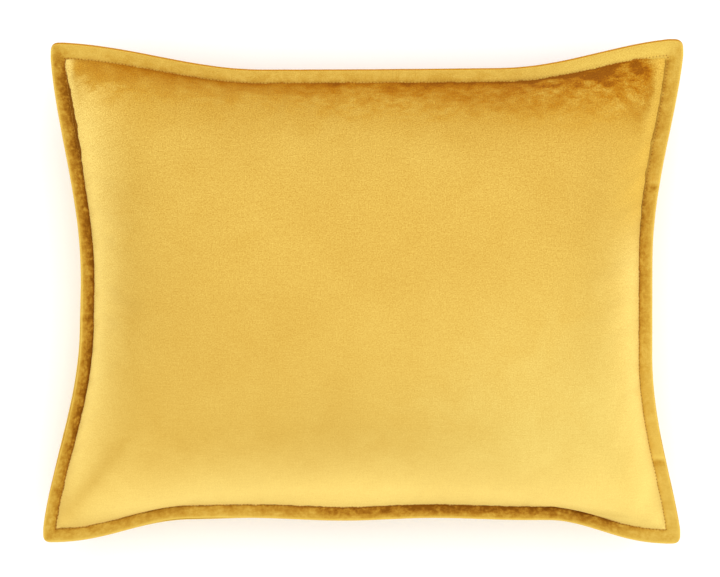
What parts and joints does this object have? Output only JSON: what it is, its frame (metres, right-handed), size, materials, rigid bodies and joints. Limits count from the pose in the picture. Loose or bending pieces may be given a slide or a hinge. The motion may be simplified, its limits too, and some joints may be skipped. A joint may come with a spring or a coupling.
{
  "type": "throw pillow",
  "caption": "Rectangular golden velvet throw pillow with a flat stitched flange, a zipped removable cover and a stuffed insert.",
  "frame": {"origin": "on the floor, under the middle of the pillow's bounding box, with the pillow lying on its back", "axes": "+X along the long sides, +Y along the short sides away from the zipped side, +Z out of the front face, up from the floor"},
  "size_m": [0.493, 0.388, 0.1517],
  "materials": {
    "velvet": "soft pile velvet with a nap",
    "gold_thread": "matte thread",
    "white_thread": "matte thread",
    "satin_label": "satin",
    "zipper_tape": "matte twill",
    "zipper_nylon": "satin",
    "zipper_brass": "brushed",
    "white_ticking": "matte plain weave",
    "polyester_fibre": "fluffy fibre"
  },
  "bodies": {
    "pillow": {"front_panel": "velvet", "back_panel": "velvet", "topstitch_needle_thread": "gold_thread", "topstitch_bobbin_thread": "gold_thread", "rim_seam_thread": "gold_thread", "care_label": "satin_label", "zipper_tape_flange_side": "zipper_tape", "zipper_tape_back_side": "zipper_tape", "zipper_coil_flange_side": "zipper_nylon", "zipper_coil_back_side": "zipper_nylon", "zipper_top_stop_flange_side": "zipper_brass", "zipper_top_stop_back_side": "zipper_brass", "zipper_bottom_stop": "zipper_brass", "zipper_stitch_row_flange_side": "gold_thread", "zipper_stitch_row_back_side": "gold_thread", "zipper_bar_tack_open_end": "gold_thread", "zipper_bar_tack_closed_end": "gold_thread", "insert_front": "white_ticking", "insert_back": "white_ticking", "fibre_fill": "polyester_fibre", "insert_seam_thread": "white_thread", "insert_closing_thread": "white_thread", "insert_label": "satin_label"},
    "slider": {"zipper_slider": "zipper_brass"},
    "pull": {"zipper_pull": "zipper_brass"}
  },
  "joints": [
    {"name": "zipper_slide", "type": "slide", "parent": "pillow", "child": "slider", "axis": [-1, 0, 0], "range_m": [0, 0.228]},
    {"name": "pull_swing", "type": "hinge", "parent": "slider", "child": "pull", "pos_m": [0.114, -0.159, 0.0635], "axis": [0, 1, 0], "range_deg": [-85, 85]}
  ]
}
